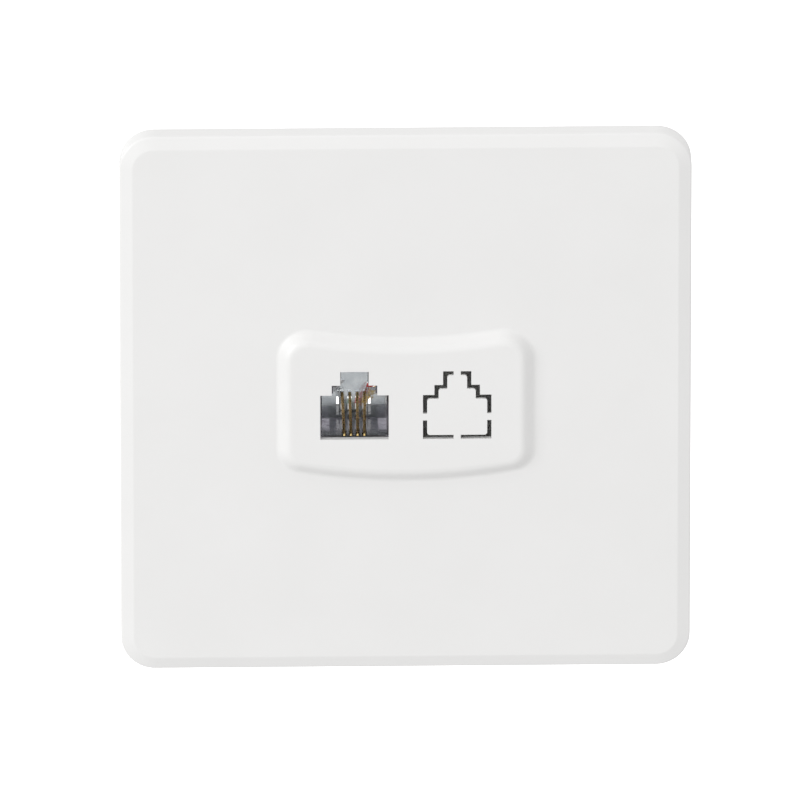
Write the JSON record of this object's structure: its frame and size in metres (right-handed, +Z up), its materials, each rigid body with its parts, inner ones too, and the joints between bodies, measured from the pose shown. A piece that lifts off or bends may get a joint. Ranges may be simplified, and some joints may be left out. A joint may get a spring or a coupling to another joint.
{
  "type": "telephone wall outlet",
  "caption": "Square flush wall outlet with a clip-on bevelled cover, a raised centre panel, one modular telephone jack, a knock-out blank and screw terminals behind.",
  "frame": {"origin": "centre of the fixing slot pattern, on the plane of the frame's rear border that lies on the wall", "axes": "+Z up, the front of the outlet faces -Y, +Y points into the wall, +X to the right seen from the front"},
  "size_m": [0.086, 0.0248, 0.086],
  "materials": {
    "cover": "satin white ABS",
    "frame": "plain white ABS, moulded",
    "jack": "smoky clear polycarbonate",
    "carrier": "translucent grey polycarbonate",
    "contact": "gold plated spring wire",
    "ferrule": "tinned copper",
    "block": "moulded nylon",
    "terminal_brass": "plain brass",
    "zinc": "zinc plated steel",
    "lug": "tinned copper",
    "black_insulation": "PVC",
    "red_insulation": "PVC",
    "green_insulation": "PVC",
    "yellow_insulation": "PVC"
  },
  "bodies": {
    "base": {"mounting_frame": "frame", "jack_housing": "jack", "contact_carrier": "carrier", "crimp_ferrules": "ferrule", "terminal_block": "block", "block_screws": "zinc", "contact_tail_1": "contact", "spade_lug_1": "lug", "terminal_plate_1": "terminal_brass", "contact_tail_2": "contact", "spade_lug_2": "lug", "terminal_plate_2": "terminal_brass", "contact_tail_3": "contact", "spade_lug_3": "lug", "terminal_plate_3": "terminal_brass", "contact_tail_4": "contact", "spade_lug_4": "lug", "terminal_plate_4": "terminal_brass", "lead_black": "black_insulation", "lead_green": "green_insulation", "lead_red": "red_insulation", "lead_yellow": "yellow_insulation"},
    "cover": {"cover_plate": "cover"},
    "contact_1": {"contact_spring_1": "contact"},
    "washer_1": {"clamp_washer_1": "zinc"},
    "screw_1": {"terminal_screw_1": "zinc"},
    "contact_2": {"contact_spring_2": "contact"},
    "washer_2": {"clamp_washer_2": "zinc"},
    "screw_2": {"terminal_screw_2": "zinc"},
    "contact_3": {"contact_spring_3": "contact"},
    "washer_3": {"clamp_washer_3": "zinc"},
    "screw_3": {"terminal_screw_3": "zinc"},
    "contact_4": {"contact_spring_4": "contact"},
    "washer_4": {"clamp_washer_4": "zinc"},
    "screw_4": {"terminal_screw_4": "zinc"}
  },
  "joints": [
    {"name": "cover_pull", "type": "slide", "parent": "base", "child": "cover", "axis": [0, -1, 0], "range_m": [0, 0.025]},
    {"name": "contact_1_flex", "type": "hinge", "parent": "base", "child": "contact_1", "pos_m": [-0.00926, -0.0036, -0.00545], "axis": [-1, 0, 0], "range_deg": [0, 14], "stiffness_Nm_per_rad": 0.01, "springref_deg": -11.46},
    {"name": "screw_1_turn", "type": "hinge", "parent": "washer_1", "child": "screw_1", "pos_m": [-0.0135, 0.0071, -0.024], "axis": [0, 1, 0], "range_deg": [0, 1081]},
    {"name": "washer_1_lift", "type": "slide", "parent": "base", "child": "washer_1", "axis": [0, 1, 0], "range_m": [0, 0.0015]},
    {"name": "contact_2_flex", "type": "hinge", "parent": "base", "child": "contact_2", "pos_m": [-0.00824, -0.0036, -0.00545], "axis": [-1, 0, 0], "range_deg": [0, 14], "stiffness_Nm_per_rad": 0.01, "springref_deg": -11.46},
    {"name": "screw_2_turn", "type": "hinge", "parent": "washer_2", "child": "screw_2", "pos_m": [-0.0045, 0.0071, -0.024], "axis": [0, 1, 0], "range_deg": [0, 1081]},
    {"name": "washer_2_lift", "type": "slide", "parent": "base", "child": "washer_2", "axis": [0, 1, 0], "range_m": [0, 0.0015]},
    {"name": "contact_3_flex", "type": "hinge", "parent": "base", "child": "contact_3", "pos_m": [-0.00722, -0.0036, -0.00545], "axis": [-1, 0, 0], "range_deg": [0, 14], "stiffness_Nm_per_rad": 0.01, "springref_deg": -11.46},
    {"name": "screw_3_turn", "type": "hinge", "parent": "washer_3", "child": "screw_3", "pos_m": [0.0045, 0.0071, -0.024], "axis": [0, 1, 0], "range_deg": [0, 1081]},
    {"name": "washer_3_lift", "type": "slide", "parent": "base", "child": "washer_3", "axis": [0, 1, 0], "range_m": [0, 0.0015]},
    {"name": "contact_4_flex", "type": "hinge", "parent": "base", "child": "contact_4", "pos_m": [-0.0062, -0.0036, -0.00545], "axis": [-1, 0, 0], "range_deg": [0, 14], "stiffness_Nm_per_rad": 0.01, "springref_deg": -11.46},
    {"name": "screw_4_turn", "type": "hinge", "parent": "washer_4", "child": "screw_4", "pos_m": [0.0135, 0.0071, -0.024], "axis": [0, 1, 0], "range_deg": [0, 1081]},
    {"name": "washer_4_lift", "type": "slide", "parent": "base", "child": "washer_4", "axis": [0, 1, 0], "range_m": [0, 0.0015]}
  ],
  "couplings": [
    {"joint": "screw_1_turn", "follows": "washer_1_lift", "rad_per_m": 12566},
    {"joint": "screw_2_turn", "follows": "washer_2_lift", "rad_per_m": 12566},
    {"joint": "screw_3_turn", "follows": "washer_3_lift", "rad_per_m": 12566},
    {"joint": "screw_4_turn", "follows": "washer_4_lift", "rad_per_m": 12566}
  ]
}
